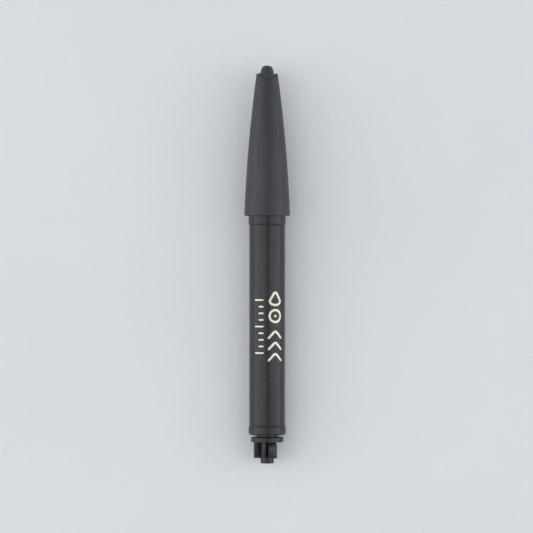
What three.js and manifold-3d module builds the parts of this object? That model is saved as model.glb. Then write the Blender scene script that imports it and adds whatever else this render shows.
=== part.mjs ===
// A brush marker refill cartridge: a slim black barrel with a brush nib under a tapered push-on cap,
// and a splined tail that is twisted to drive a piston forward and feed ink to the brush.
//
// Millimetres, +Z up. The cartridge lies along Y with its capped tip at +Y, on the plane z = 0. Every
// turned piece is a lathe about the cartridge's own axis, so its profile is a list of [radius, station]
// pairs, and a station is a distance along that axis from the middle of the cartridge.
import * as THREE from "three";
import { mergeVertices } from "three/addons/utils/BufferGeometryUtils.js";
import Module from "manifold-3d";

const wasm = await Module();
wasm.setup();

// ---- driving dimensions -------------------------------------------------------------------------
const TOTAL_LENGTH = 87.5;
const CAP_LENGTH = 31.3;          // shell, mouth to rim
const DOME_PROUD = 1.75;          // how far the inner cap shows beyond the shell's rim
const CAP_MOUTH_R = 5.05;
const CAP_RIM_R = 2.35;
const CAP_SLOPE = 0.038;          // taper right at the mouth, before the flank starts to curve in
const CAP_WALL = 0.7;
const COLLAR_R = 4.1;
const COLLAR_SHOWING = 2.1;       // front collar between the cap and the barrel
const BARREL_R = 3.95;
const BARREL_LENGTH = 43.95;
const REAR_BORE_R = 3.2;          // holds the feed mechanism
const FRONT_BORE_R = 3.05;        // the ink chamber
const TAIL_RING_R = 4.1;
const TAIL_RING_LENGTH = 2.15;
const TAIL_GAP = 0.45;            // running gap between the fixed tail ring and the turning coupling
const COUPLING_COLLAR_R = 3.6;
const COUPLING_COLLAR_LENGTH = 1.1;
const SPLINE_LENGTH = 3.5;
const SPLINE_R = 3.05;
const SPLINE_CORE_R = 1.6;
const TAIL_PIN_R = 1.5;
const THREAD_LEAD = 1.6;          // piston travel for each turn of the tail
const THREAD_CREST_R = 1.5;
const THREAD_ROOT_R = 1.2;

// ---- fits ---------------------------------------------------------------------------------------
const SEAM = 0.05;                // between faces that butt together
const FIT = 0.08;                 // radial gap of a piece seated in a bore
const RUNNING = 0.12;             // gap round a piece that turns or slides
const EDGE = 0.2;                 // chamfer on an outside edge

// ---- facets -------------------------------------------------------------------------------------
const OUTER_SIDES = 24;
const INNER_SIDES = 16;
const RING_SIDES = 8;             // round an O-ring's own section

// ---- stations, from the tip down to the tail ----------------------------------------------------
const TIP = TOTAL_LENGTH / 2;
const RIM = TIP - DOME_PROUD;
const MOUTH = RIM - CAP_LENGTH;
const BARREL_FRONT = MOUTH - COLLAR_SHOWING;
const BARREL_REAR = BARREL_FRONT - BARREL_LENGTH;
const RING_REAR = BARREL_REAR - TAIL_RING_LENGTH;
const COUPLING_FRONT = RING_REAR - TAIL_GAP;
const SPLINE_FRONT = COUPLING_FRONT - COUPLING_COLLAR_LENGTH;
const SPLINE_REAR = SPLINE_FRONT - SPLINE_LENGTH;
const TAIL = -TOTAL_LENGTH / 2;
const NUT_FRONT = BARREL_FRONT - 23.6;      // the step in the bore that the nut stops against
const NUT_REAR = NUT_FRONT - 4.5;
const PISTON_REAR = NUT_FRONT + 0.5;
const PISTON_FRONT = PISTON_REAR + 5.6;

// ---- materials ----------------------------------------------------------------------------------
const material = (color, roughness, metalness = 0) =>
  new THREE.MeshStandardMaterial({ color, roughness, metalness });
const CAP_BLACK = material(0x1c2026, 0.42);
const BARREL_BLACK = material(0x14171b, 0.3);
const MECHANISM_BLACK = material(0x202327, 0.5);
const INNER_WHITE = material(0xd8d6cf, 0.45);
const SEAL_RUBBER = material(0x2b2523, 0.75);
const BRISTLE = material(0x3a2418, 0.7);
const STEEL = material(0xb9bcc0, 0.3, 1);

// ---- shape helpers ------------------------------------------------------------------------------
const cartridge = new THREE.Group();

function place(name, geometry, finish) {
  const mesh = new THREE.Mesh(geometry, finish);
  mesh.name = name;
  cartridge.add(mesh);
}

// A turned piece from [radius, station] pairs that run up the outside, towards +Y. A profile that isn't
// on the axis at both ends is closed back to its start. A flat of the polygon faces down.
function turned(profile, sides = OUTER_SIDES) {
  const points = profile.map(([r, station]) => new THREE.Vector2(r, station));
  const onAxis = profile[0][0] === 0 && profile.at(-1)[0] === 0;
  if (!onAxis) points.push(points[0].clone());
  return new THREE.LatheGeometry(points, sides, Math.PI / sides);
}

// Points on an arc in a profile, about [r, station], from one angle to another in degrees; 0 points
// outwards and 90 to the tip.
function arc([r, station], radius, from, to, steps) {
  return Array.from({ length: steps + 1 }, (_, i) => {
    const angle = THREE.MathUtils.degToRad(from + ((to - from) * i) / steps);
    return [r + radius * Math.cos(angle), station + radius * Math.sin(angle)];
  });
}

function toSolid(geometry) {
  const bare = new THREE.BufferGeometry().setAttribute("position", geometry.getAttribute("position"));
  bare.setIndex(geometry.index);
  const merged = mergeVertices(bare, 1e-4);
  return new wasm.Manifold(new wasm.Mesh({
    numProp: 3,
    vertProperties: merged.attributes.position.array,
    triVerts: new Uint32Array(merged.index.array),
  }));
}

function toGeometry(solid) {
  const { vertProperties, triVerts } = solid.getMesh();
  const geometry = new THREE.BufferGeometry();
  geometry.setAttribute("position", new THREE.BufferAttribute(vertProperties, 3));
  geometry.setIndex(new THREE.BufferAttribute(triVerts, 1));
  return geometry;
}

// A box about the axis, from one station to another, turned by an angle in degrees round the axis.
function block(width, depth, from, to, offset = [0, 0], turn = 0) {
  const geometry = new THREE.BoxGeometry(width, to - from, depth);
  geometry.translate(offset[0], (from + to) / 2, offset[1]);
  geometry.rotateY(THREE.MathUtils.degToRad(turn));
  return toSolid(geometry);
}

function rod(r, from, to, sides = INNER_SIDES) {
  return toSolid(turned([[0, from], [r, from], [r, to], [0, to]], sides));
}

// An O-ring, given as { r, station, sectionR } with r and station at the middle of its section.
function oRing({ r, station, sectionR }) {
  return turned(arc([r, station], sectionR, -90, 270, RING_SIDES).slice(0, -1));
}

// The ring that seals against a bore of the given radius, and the groove it sits in, as points of the
// profile of the piece that carries it.
const ringIn = (boreR, station, sectionR) => ({ r: boreR - SEAM - sectionR, station, sectionR });
const grooveFor = ({ r, station, sectionR }, surfaceR) => [
  [surfaceR, station - sectionR - FIT],
  [r - sectionR - SEAM, station - sectionR - FIT],
  [r - sectionR - SEAM, station + sectionR + FIT],
  [surfaceR, station + sectionR + FIT],
];

// A threaded solid of one lead, trimmed flat at both ends. grow moves its whole flank outwards, which
// makes the cutter for a nut that runs on the same thread. Each column of vertices is the last one
// turned and raised along the helix, so the solid maps onto itself as it screws forward.
function threaded(from, to, grow = 0) {
  const crest = THREAD_CREST_R + grow;
  const root = THREAD_ROOT_R + grow;
  const lead = [[root, 0], [root, 0.3], [crest, 0.5], [crest, 0.8]];     // [radius, share of the lead]
  const perTurn = lead.length;
  const turns = Math.ceil((to - from) / THREAD_LEAD) + 5;
  const rows = turns * perTurn;
  const start = THREAD_LEAD * (Math.floor(from / THREAD_LEAD) - 2);     // in step with other threads
  const positions = [];
  const at = (column, row) => column * (rows + 1) + row;
  for (let column = 0; column < INNER_SIDES; column++) {
    const angle = ((column + 0.5) / INNER_SIDES) * 2 * Math.PI;
    for (let row = 0; row <= rows; row++) {
      const [r, share] = lead[row % perTurn];
      const leads = Math.floor(row / perTurn) + share + column / INNER_SIDES;
      const station = start + THREAD_LEAD * leads;
      positions.push(r * Math.sin(angle), station, r * Math.cos(angle));
    }
  }
  const base = positions.push(0, start - THREAD_LEAD, 0) / 3 - 1;
  const top = positions.push(0, start + THREAD_LEAD * (turns + 2), 0) / 3 - 1;
  const faces = [];
  // the last column joins the first one a whole lead further up
  const last = INNER_SIDES - 1;
  for (let column = 0; column <= last; column++) {
    const next = column === last ? 0 : column + 1;
    const lift = column === last ? perTurn : 0;
    for (let row = 0; row + lift < rows; row++) {
      const [a, b] = [at(column, row), at(next, row + lift)];
      faces.push(a, b, b + 1, a, b + 1, a + 1);
    }
    faces.push(base, at(next, lift), at(column, 0));
    faces.push(top, at(column, rows - lift), at(next, rows));
  }
  for (let row = 0; row < perTurn; row++) {
    faces.push(base, at(0, row), at(0, row + 1));
    faces.push(top, at(last, rows - row), at(last, rows - row - 1));
  }
  const geometry = new THREE.BufferGeometry();
  geometry.setAttribute("position", new THREE.BufferAttribute(new Float32Array(positions), 3));
  geometry.setIndex(faces);
  return toSolid(geometry).intersect(rod(2 * crest, from, to));
}

// ---- cap ----------------------------------------------------------------------------------------
const CAP_BEND = (CAP_MOUTH_R - CAP_RIM_R - CAP_SLOPE * CAP_LENGTH) / CAP_LENGTH ** 2;
const capOuterR = (station) => {
  const fromMouth = station - MOUTH;
  return CAP_MOUTH_R - CAP_SLOPE * fromMouth - CAP_BEND * fromMouth ** 2;
};
const capBoreR = (station) => capOuterR(station) - CAP_WALL;
// a facet of the cap's mouth meets z = 0
cartridge.position.z = capOuterR(MOUTH + EDGE) * Math.cos(Math.PI / OUTER_SIDES);

const SNAP_BEAD_STATION = MOUTH + 2.6;
const BAND_REAR = RIM - 9;        // where the inner cap grips the shell
const BAND_FRONT = RIM - 6;
const DOME_R = 1.54;              // of the inner cap where it leaves the shell
const DOME_ROUND = 1.05;          // radius of the dome's shoulder
const CROWN_BORE_R = DOME_R + 0.15;
const CROWN_NOTCH_WIDTH = 3.6;
const CROWN_NOTCH_DEPTH = 1.4;
const CROWN_TURN = 7;             // degrees the notches are turned round from straight up
const LUG_WIDTH = 2.8;            // of the inner cap's lugs, which stand in the notches
const LUG_GAP = 0.1;              // between a lug and its notch's floor
const CROWN_BORE_END = RIM - 4.2; // where the crown's narrow bore opens out into the cap's
const CAP_STEPS = 9;

function capShell() {
  const flank = Array.from({ length: CAP_STEPS }, (_, i) => {
    const station = THREE.MathUtils.lerp(MOUTH + EDGE, RIM - EDGE, i / (CAP_STEPS - 1));
    return [capOuterR(station), station];
  });
  const outside = [[CAP_MOUTH_R - EDGE / 2, MOUTH], ...flank, [CAP_RIM_R - EDGE, RIM]];
  const boreStations = [CROWN_BORE_END, BAND_FRONT, BAND_REAR, MOUTH + 17, MOUTH + 12, MOUTH + 7];
  const inside = [
    [CROWN_BORE_R, RIM],
    [CROWN_BORE_R, CROWN_BORE_END],
    ...boreStations.map((station) => [capBoreR(station), station]),
    // a bead that snaps over the one on the front section
    [capBoreR(SNAP_BEAD_STATION + 0.9), SNAP_BEAD_STATION + 0.9],
    [COLLAR_R + RUNNING, SNAP_BEAD_STATION + 0.3],
    [COLLAR_R + RUNNING, SNAP_BEAD_STATION - 0.3],
    [capBoreR(MOUTH) + 0.05, SNAP_BEAD_STATION - 0.9],
    [capBoreR(MOUTH) + 0.05, MOUTH + 0.3],
    [capBoreR(MOUTH) + 0.25, MOUTH],
  ];
  const shell = toSolid(turned([...outside, ...inside]));
  return toGeometry(shell.subtract(crownNotch(CROWN_NOTCH_WIDTH, CROWN_NOTCH_DEPTH)));
}

// A round-bottomed bar across the rim. Cut from the crown, it leaves a notch at the front and one at
// the back.
function crownNotch(width, depth) {
  const outline = new THREE.Shape()
    .moveTo(width / 2, 1)
    .lineTo(-width / 2, 1)
    .absellipse(0, 0, width / 2, depth, Math.PI, 2 * Math.PI, false, 0);
  const across = 4 * CAP_RIM_R;
  const options = { depth: across, bevelEnabled: false, curveSegments: 14 };
  const notch = new THREE.ExtrudeGeometry(outline, options);
  notch.translate(0, RIM, -across / 2);
  notch.rotateY(THREE.MathUtils.degToRad(CROWN_TURN));
  return toSolid(notch);
}

const LINER_MOUTH = MOUTH + 10.5;
const LINER_SEAT = LINER_MOUTH + 1.1;       // depth of the seat for the cap seal
const LINER_MOUTH_R = 3.6;
const SEAL_SEAT_R = 3.3;
const THIMBLE_END = TIP - 2.4;    // the blind end of the hollow round the nib

function innerCap() {
  const body = toSolid(turned([
    [LINER_MOUTH_R, LINER_MOUTH],
    [LINER_MOUTH_R - 0.1, LINER_SEAT + 0.4],
    [capBoreR(BAND_REAR) - 0.5, BAND_REAR],
    // the band that grips the shell
    [capBoreR(BAND_REAR) - FIT, BAND_REAR + 0.2],
    [capBoreR(BAND_FRONT) - FIT, BAND_FRONT - 0.2],
    [capBoreR(BAND_FRONT) - 0.4, BAND_FRONT],
    [DOME_R + 0.1, RIM - 4.4],
    [DOME_R, RIM - 1],
    ...arc([DOME_R - DOME_ROUND, TIP - DOME_ROUND], DOME_ROUND, 10, 90, 4),
    [0, TIP],
    // the thimble that closes round the nozzle and the nib
    [0, THIMBLE_END],
    [0.5, THIMBLE_END - 0.4],
    [1.35, RIM - 7.5],
    [2.1, NOZZLE_END - 0.3],
    [2.95, LINER_SEAT],
    [SEAL_SEAT_R, LINER_SEAT],
    [SEAL_SEAT_R, LINER_MOUTH],
  ]));
  // two lugs that stand in the crown's notches, sloping from the shell's surface in to the dome
  const notchBottom = RIM - CROWN_NOTCH_DEPTH;
  const slope = toSolid(turned([
    [0, notchBottom],
    [capOuterR(notchBottom), notchBottom],
    [DOME_R - 0.05, RIM + 0.1],
    [0, RIM + 0.1],
  ]));
  const lugs = crownNotch(LUG_WIDTH, CROWN_NOTCH_DEPTH - LUG_GAP).intersect(slope);
  return toGeometry(body.add(lugs));
}

function capSeal() {
  const outerR = SEAL_SEAT_R - FIT;
  const innerR = outerR - 0.24;
  const lip = 0.1;                // how far the seal's waist stands in towards the nozzle
  return turned([
    [outerR, LINER_MOUTH + 0.1],
    [outerR, LINER_SEAT - SEAM],
    [innerR, LINER_SEAT - SEAM],
    [innerR - lip, (LINER_MOUTH + LINER_SEAT) / 2],
    [innerR, LINER_MOUTH + 0.1],
  ]);
}

// ---- front section and nib ----------------------------------------------------------------------
const PLUG_REAR = BARREL_FRONT - 4.8;
const COLLAR_FRONT = MOUTH + 1.4;
const NOZZLE_END = MOUTH + 18.8;
const NIB_TIP = NOZZLE_END + 8.5;
const FERRULE_R = 1.5;
const NIB_R = 1.08;
const JOINT_R = 1.9;
const JOINT_STOP = MOUTH + 1;
const FERRULE_REAR = MOUTH + 7.6;
const FERRULE_FRONT = NOZZLE_END - 1.4;
const SNAP_NECK_R = 3.85;         // either side of the bead that the cap snaps over
const NOZZLE_R = 1.9;
const FRONT_RING = ringIn(FRONT_BORE_R, BARREL_FRONT - 2.8, 0.24);

function frontSection() {
  const plugR = FRONT_BORE_R - SEAM;
  return turned([
    [plugR - 0.25, PLUG_REAR],
    [plugR, PLUG_REAR + 0.4],
    ...grooveFor(FRONT_RING, plugR),
    [plugR, BARREL_FRONT + SEAM],
    [COLLAR_R - EDGE, BARREL_FRONT + SEAM],
    [COLLAR_R, BARREL_FRONT + SEAM + EDGE],
    [COLLAR_R, COLLAR_FRONT - 0.2],
    [SNAP_NECK_R, COLLAR_FRONT],
    // the bead that the cap snaps over
    [SNAP_NECK_R, SNAP_BEAD_STATION - 0.5],
    [COLLAR_R - 0.02, SNAP_BEAD_STATION - 0.1],
    [COLLAR_R - 0.02, SNAP_BEAD_STATION + 0.1],
    [SNAP_NECK_R - 0.1, SNAP_BEAD_STATION + 0.5],
    [3.6, MOUTH + 5.6],
    [3.35, MOUTH + 6.2],
    [NOZZLE_R + 0.3, NOZZLE_END - 3.4],
    [NOZZLE_R, NOZZLE_END - 0.5],
    [NOZZLE_R - 0.25, NOZZLE_END],
    // down the inside
    [NIB_R + 0.12, NOZZLE_END],
    [NIB_R + 0.12, FERRULE_FRONT + SEAM],
    [FERRULE_R + FIT, FERRULE_FRONT + SEAM],
    [FERRULE_R + FIT, FERRULE_REAR - 1.6],
    [JOINT_R - 0.6, JOINT_STOP],
    [JOINT_R + FIT, JOINT_STOP],
    [JOINT_R + FIT, PLUG_REAR + 0.5],
    [JOINT_R + 0.5, PLUG_REAR],
  ]);
}

const NIB_BORE_R = 0.5;           // takes the feed pipe
const FLANGE_REAR = FERRULE_REAR - 1.2;     // the bristles are fused into a flange behind the ferrule

const brushNib = () => turned([
  [NIB_BORE_R, FLANGE_REAR],
  [FERRULE_R, FLANGE_REAR],
  [FERRULE_R, FERRULE_REAR - SEAM],
  [NIB_R, FERRULE_REAR - SEAM],
  [NIB_R, NOZZLE_END],
  [NIB_R * 1.08, NOZZLE_END + 1.6],
  [NIB_R * 0.95, NOZZLE_END + 3.6],
  [NIB_R * 0.58, NOZZLE_END + 6],
  [0.2, NOZZLE_END + 7.8],
  [0, NIB_TIP],
  [0, FERRULE_REAR + 4],
  [NIB_BORE_R, FERRULE_REAR + 4],
], INNER_SIDES);

const nibFerrule = () => turned([
  [FERRULE_R, FERRULE_REAR],
  [FERRULE_R, FERRULE_FRONT],
  [NIB_R + 0.06, FERRULE_FRONT],
  [NIB_R + 0.06, FERRULE_REAR],
], INNER_SIDES);

const PIPE_R = 0.42;

const feedPipe = () => turned([
  [PIPE_R, PLUG_REAR + 2.4],
  [PIPE_R, FERRULE_REAR + 3.6],
  [PIPE_R - 0.18, FERRULE_REAR + 3.6],
  [PIPE_R - 0.18, PLUG_REAR + 2.4],
], INNER_SIDES);

const pipeJoint = () => turned([
  [JOINT_R - 0.2, PLUG_REAR + 1],
  [JOINT_R, PLUG_REAR + 1.3],
  [JOINT_R, JOINT_STOP - SEAM],
  [PIPE_R + 0.05, JOINT_STOP - SEAM],
  [PIPE_R + 0.05, PLUG_REAR + 2.2],
  [0.9, PLUG_REAR + 1],
]);

// ---- barrel -------------------------------------------------------------------------------------
const barrel = () => turned([
  [BARREL_R - 0.1, BARREL_REAR],
  [BARREL_R, BARREL_REAR + 0.1],
  [BARREL_R, BARREL_FRONT - 0.1],
  [BARREL_R - 0.1, BARREL_FRONT],
  [FRONT_BORE_R, BARREL_FRONT],
  [FRONT_BORE_R, NUT_FRONT],
  [REAR_BORE_R, NUT_FRONT],
  [REAR_BORE_R, BARREL_REAR],
]);

// ---- feed mechanism -----------------------------------------------------------------------------
const ROD_REAR = COUPLING_FRONT - 0.4;
const ROD_FLAT = 1.15;            // half the rod's thickness across its two flats
const ROD_HEAD_R = 1.35;
const ROD_NECK_R = 1;
const HEAD_REAR = PISTON_REAR + 2.3;
const HEAD_LENGTH = 1;

function screwRod() {
  const threadFront = PISTON_REAR - 0.3;
  const thread = threaded(ROD_REAR, threadFront).intersect(block(2 * ROD_FLAT, 8, ROD_REAR, threadFront));
  const stem = toSolid(turned([
    [0, threadFront - 0.5],
    [ROD_NECK_R, threadFront - 0.5],
    [ROD_NECK_R, HEAD_REAR],
    [ROD_HEAD_R, HEAD_REAR],
    [ROD_HEAD_R - 0.35, HEAD_REAR + HEAD_LENGTH],
    [0, HEAD_REAR + HEAD_LENGTH],
  ], INNER_SIDES));
  return toGeometry(thread.add(stem));
}

function threadNut() {
  const outerR = REAR_BORE_R - FIT;
  const body = toSolid(turned([
    [0, NUT_REAR],
    [outerR - 0.2, NUT_REAR],
    [outerR, NUT_REAR + 0.2],
    [outerR, NUT_FRONT - SEAM],
    [0, NUT_FRONT - SEAM],
  ]));
  return toGeometry(body.subtract(threaded(NUT_REAR - 1, NUT_FRONT + 1, RUNNING)));
}

const PISTON_RING = ringIn(FRONT_BORE_R, PISTON_REAR + 3.4, 0.26);

function piston() {
  const lipR = FRONT_BORE_R - SEAM;
  const waistR = 2.7;
  return turned([
    [lipR, PISTON_REAR],
    [lipR, PISTON_REAR + 0.7],
    [waistR, PISTON_REAR + 1.1],
    ...grooveFor(PISTON_RING, waistR),
    [waistR, PISTON_FRONT - 1.5],
    [lipR, PISTON_FRONT - 1.2],
    [lipR, PISTON_FRONT - 0.6],
    [1.8, PISTON_FRONT - 0.1],
    [0, PISTON_FRONT],
    [0, HEAD_REAR + HEAD_LENGTH + 0.3],
    [ROD_HEAD_R + RUNNING, HEAD_REAR + HEAD_LENGTH + 0.1],
    [ROD_HEAD_R + RUNNING, HEAD_REAR - 0.1],
    [ROD_NECK_R + RUNNING, HEAD_REAR - 0.1],
    [ROD_NECK_R + RUNNING, PISTON_REAR + 1.2],
    [1.9, PISTON_REAR],
  ]);
}

const SHAFT_R = 2.4;
const SHAFT_FRONT = BARREL_REAR + 5.8;
const SPIGOT_FRONT = BARREL_REAR + 3.3;
const SHAFT_BORE_R = THREAD_CREST_R + 0.1;
const SPIGOT_BORE_R = SHAFT_R + 0.1;
const TAIL_O_RING = ringIn(SPIGOT_BORE_R, BARREL_REAR + 1.2, 0.22);
const TUBE_R = 2.1;
const TUBE_FRONT = NUT_REAR - 0.6;
const CLICK_REAR = BARREL_REAR + 8.4;
const CLICK_FRONT = CLICK_REAR + 2.4;
const CLICK_TEETH = 20;
const CLICK_CREST_R = 2.6;

// The sleeve that carries the tail's twist to the screw rod: the rod's flats slide in its flat-sided
// bore.
function driveTube() {
  const socketRear = SPIGOT_FRONT + 0.3;
  const hubR = 2.3;
  const outside = toSolid(turned([
    [SHAFT_R + FIT, socketRear],
    [REAR_BORE_R - 0.25, socketRear],
    [REAR_BORE_R - 0.25, SHAFT_FRONT - 0.4],
    [hubR, SHAFT_FRONT + 0.6],
    [hubR, CLICK_FRONT],
    [TUBE_R, CLICK_FRONT],
    [TUBE_R, TUBE_FRONT - 0.2],
    [TUBE_R - 0.2, TUBE_FRONT],
    [0, TUBE_FRONT],
    [0, SHAFT_FRONT + SEAM],
    [SHAFT_R + FIT, SHAFT_FRONT + SEAM],
  ]));
  const bore = rod(SHAFT_BORE_R, SHAFT_FRONT - 1, TUBE_FRONT + 1)
    .intersect(block(2 * (ROD_FLAT + 0.1), 8, SHAFT_FRONT - 1, TUBE_FRONT + 1));
  let tube = outside.subtract(bore);
  // two pawls that trail the hub and click over the ring's teeth
  const pawlTipR = CLICK_CREST_R - 0.06;
  const pawlRootR = TUBE_R - 0.2;
  const offset = [0, (pawlTipR + pawlRootR) / 2];
  for (const turn of [0, 180]) {
    const arm = block(0.5, pawlTipR - pawlRootR, CLICK_REAR + 0.3, CLICK_FRONT - 0.3, offset, turn);
    tube = tube.add(arm.intersect(rod(pawlTipR, CLICK_REAR, CLICK_FRONT, OUTER_SIDES)));
  }
  return toGeometry(tube);
}

// The fixed ring with a toothed bore that the pawls click over.
function clickRing() {
  const outer = new THREE.Shape();
  const hole = new THREE.Path();
  const outerR = REAR_BORE_R - FIT;
  for (let i = 0; i < OUTER_SIDES; i++) {
    const angle = ((i + 0.5) / OUTER_SIDES) * 2 * Math.PI;
    const move = i === 0 ? "moveTo" : "lineTo";
    outer[move](outerR * Math.cos(angle), outerR * Math.sin(angle));
  }
  for (let i = 0; i < 2 * CLICK_TEETH; i++) {
    const angle = (i / (2 * CLICK_TEETH)) * 2 * Math.PI;
    const r = i % 2 ? CLICK_CREST_R + 0.22 : CLICK_CREST_R + 0.02;
    const move = i === 0 ? "moveTo" : "lineTo";
    hole[move](r * Math.cos(angle), r * Math.sin(angle));
  }
  outer.holes.push(hole);
  const ring = new THREE.ExtrudeGeometry(outer, { depth: CLICK_FRONT - CLICK_REAR, bevelEnabled: false });
  ring.rotateX(-Math.PI / 2);
  ring.translate(0, CLICK_REAR, 0);
  return toGeometry(toSolid(ring));
}

class Helix extends THREE.Curve {
  constructor(radius, from, to, turns) {
    super();
    Object.assign(this, { radius, from, to, turns });
  }
  getPoint(t, target = new THREE.Vector3()) {
    const angle = 2 * Math.PI * this.turns * t;
    const station = THREE.MathUtils.lerp(this.from, this.to, t);
    return target.set(this.radius * Math.sin(angle), station, this.radius * Math.cos(angle));
  }
}

// The spring that holds the drive tube back against the tail ring, so that the twist has no rattle.
function clutchSpring() {
  const wireR = 0.17;
  const wire = new THREE.Shape().absarc(0, 0, wireR, 0, 2 * Math.PI, false);
  const path = new Helix(TUBE_R + 0.4, CLICK_FRONT + 0.3, NUT_REAR - 0.3, 4.5);
  const options = { extrudePath: path, steps: 64, curveSegments: 3, bevelEnabled: false };
  return new THREE.ExtrudeGeometry(wire, options);
}

// ---- tail ---------------------------------------------------------------------------------------
const tailRing = () => turned([
  [SPIGOT_BORE_R, RING_REAR],
  [TAIL_RING_R - 0.55, RING_REAR],
  ...arc([TAIL_RING_R - 0.45, RING_REAR + 0.45], 0.45, -75, 0, 3),
  [TAIL_RING_R, BARREL_REAR - SEAM - 0.35],
  [BARREL_R - 0.05, BARREL_REAR - SEAM],
  [REAR_BORE_R - FIT, BARREL_REAR - SEAM],
  [REAR_BORE_R - FIT, SPIGOT_FRONT - 0.2],
  [REAR_BORE_R - FIT - 0.2, SPIGOT_FRONT],
  [SPIGOT_BORE_R, SPIGOT_FRONT],
]);

const NARROW_RIB = 0.62;
const WIDE_KEY = 2.1;
const RIB_TURNS = [-11, -71, -131, 169];     // degrees from straight up, towards +X
const KEY_TURN = 26;

// The turning tail: a shaft into the barrel, and outside it a collar and a keyed spline that a holder
// drives.
function tailCoupling() {
  const shaft = toSolid(turned([
    [0, TAIL],
    [TAIL_PIN_R - 0.15, TAIL],
    [TAIL_PIN_R, TAIL + 0.15],
    [TAIL_PIN_R, SPLINE_REAR],
    [SPLINE_CORE_R, SPLINE_REAR],
    [SPLINE_CORE_R, SPLINE_FRONT],
    [COUPLING_COLLAR_R - 0.15, SPLINE_FRONT],
    [COUPLING_COLLAR_R, SPLINE_FRONT + 0.15],
    [COUPLING_COLLAR_R, COUPLING_FRONT - 0.15],
    [COUPLING_COLLAR_R - 0.15, COUPLING_FRONT],
    [SHAFT_R, COUPLING_FRONT],
    ...grooveFor(TAIL_O_RING, SHAFT_R),
    [SHAFT_R, SHAFT_FRONT],
    [SHAFT_BORE_R, SHAFT_FRONT],
    [SHAFT_BORE_R, ROD_REAR - 0.3],
    [0, ROD_REAR - 0.3],
  ]));
  const envelope = toSolid(turned([
    [0, SPLINE_REAR],
    [SPLINE_R - EDGE, SPLINE_REAR],
    [SPLINE_R, SPLINE_REAR + EDGE],
    [SPLINE_R, SPLINE_FRONT + 0.2],
    [0, SPLINE_FRONT + 0.2],
  ]));
  const rootR = SPLINE_CORE_R - 0.8;
  const tipR = SPLINE_R + 1;
  const rib = (width, turn) =>
    block(width, tipR - rootR, SPLINE_REAR, SPLINE_FRONT + 0.2, [0, (tipR + rootR) / 2], turn);
  let ribs = rib(WIDE_KEY, KEY_TURN);
  for (const turn of RIB_TURNS) ribs = ribs.add(rib(NARROW_RIB, turn));
  return toGeometry(shaft.add(ribs.intersect(envelope)));
}

// ---- assembly -----------------------------------------------------------------------------------
place("cap_shell", capShell(), CAP_BLACK);
place("inner_cap", innerCap(), CAP_BLACK);
place("cap_seal", capSeal(), SEAL_RUBBER);
place("front_section", frontSection(), BARREL_BLACK);
place("front_o_ring", oRing(FRONT_RING), SEAL_RUBBER);
place("pipe_joint", pipeJoint(), INNER_WHITE);
place("feed_pipe", feedPipe(), STEEL);
place("nib_ferrule", nibFerrule(), INNER_WHITE);
place("brush_nib", brushNib(), BRISTLE);
place("barrel", barrel(), BARREL_BLACK);
place("piston", piston(), INNER_WHITE);
place("piston_o_ring", oRing(PISTON_RING), SEAL_RUBBER);
place("screw_rod", screwRod(), MECHANISM_BLACK);
place("thread_nut", threadNut(), INNER_WHITE);
place("drive_tube", driveTube(), MECHANISM_BLACK);
place("clutch_spring", clutchSpring(), STEEL);
place("click_ring", clickRing(), INNER_WHITE);
place("tail_ring", tailRing(), BARREL_BLACK);
place("tail_o_ring", oRing(TAIL_O_RING), SEAL_RUBBER);
place("tail_coupling", tailCoupling(), BARREL_BLACK);

export default cartridge;
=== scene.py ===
import math
import random

import bmesh
import bpy
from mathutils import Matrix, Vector


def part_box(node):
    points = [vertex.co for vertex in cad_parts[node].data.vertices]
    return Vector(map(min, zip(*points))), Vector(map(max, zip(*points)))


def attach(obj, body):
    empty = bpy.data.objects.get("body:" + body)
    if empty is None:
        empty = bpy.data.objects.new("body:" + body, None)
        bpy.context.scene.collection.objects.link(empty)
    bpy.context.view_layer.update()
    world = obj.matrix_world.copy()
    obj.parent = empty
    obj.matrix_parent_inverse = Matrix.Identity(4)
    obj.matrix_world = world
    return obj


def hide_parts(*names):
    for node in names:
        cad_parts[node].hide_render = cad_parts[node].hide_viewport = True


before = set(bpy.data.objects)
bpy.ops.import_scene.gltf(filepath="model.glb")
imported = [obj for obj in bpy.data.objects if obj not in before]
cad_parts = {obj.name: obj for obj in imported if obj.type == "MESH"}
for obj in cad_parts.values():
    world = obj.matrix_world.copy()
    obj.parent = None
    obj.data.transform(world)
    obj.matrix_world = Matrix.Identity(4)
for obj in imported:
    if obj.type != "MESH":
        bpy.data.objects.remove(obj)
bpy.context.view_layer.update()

# A brush marker refill cartridge, capped and lying on a pale studio floor. Lengths are millimetres:
# stations along the cartridge's axis, towards +Y and the capped tip, and radii round it. They are turned
# into metres only as a mesh is made. The main stations and radii come from the CAD nodes' boxes.
MM = 0.001
OUTER_SIDES = 24                     # facets round an outer CAD piece
FLAT_TO_CORNER = 1 / math.cos(math.pi / OUTER_SIDES)
COLUMNS = 192                        # round a smooth outer piece
FINE_COLUMNS = 96                    # round a small or hidden one


def span(node):
    """A CAD node's rear and front stations."""
    low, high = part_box(node)
    return low.y / MM, high.y / MM


def radius(node):
    """A CAD node's largest radius."""
    low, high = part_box(node)
    return (high.x - low.x) / 2 / MM * FLAT_TO_CORNER


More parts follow.
